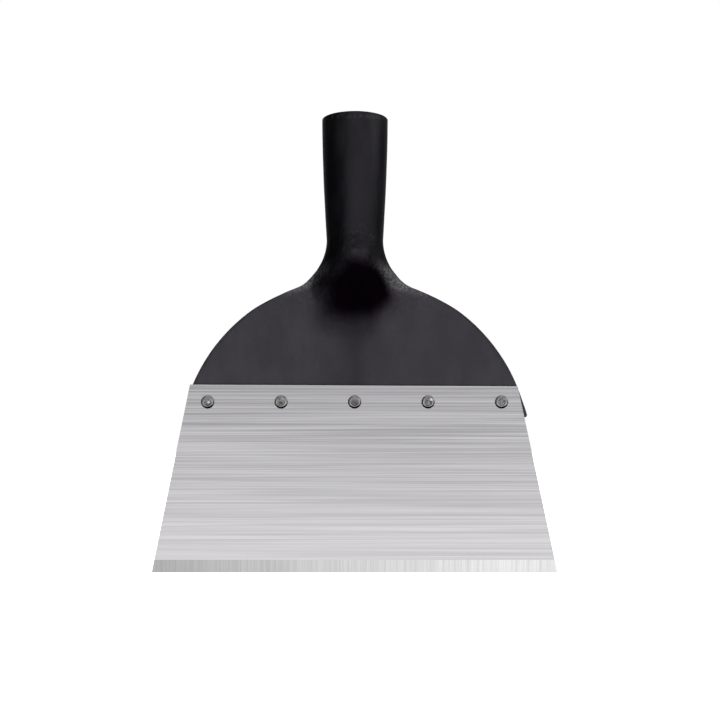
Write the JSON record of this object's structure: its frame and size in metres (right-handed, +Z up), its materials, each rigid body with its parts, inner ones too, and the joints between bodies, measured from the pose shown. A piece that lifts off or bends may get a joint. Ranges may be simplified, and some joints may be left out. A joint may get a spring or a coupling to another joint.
{
  "type": "scraper head",
  "caption": "Wide flat steel scraper head: pole socket flowing into a half-round plate, with a riveted trapezoid blade ground along its edge.",
  "frame": {"origin": "centre of the socket's mouth, where a pole goes in", "axes": "+Z up along the flat plate and blade, away from the cutting edge; +X to the right along the cutting edge, seen from the front; +Y to the back, so the blade's ground front faces -Y; the socket leans back from +Z by 9 degrees"},
  "size_m": [0.2108, 0.0428, 0.2392],
  "materials": {
    "black_enamel": "satin black enamel over forged steel, slightly rubbed at the rim and shoulders",
    "brushed_steel": "fine horizontal brushing, with vertical grinding marks on the bevel",
    "rivet_steel": "plain pressed steel, darkened in the dimple"
  },
  "bodies": {
    "root": {"socket_head": "black_enamel", "blade": "brushed_steel", "rivet_1": "rivet_steel", "rivet_2": "rivet_steel", "rivet_3": "rivet_steel", "rivet_4": "rivet_steel", "rivet_5": "rivet_steel"}
  },
  "joints": []
}
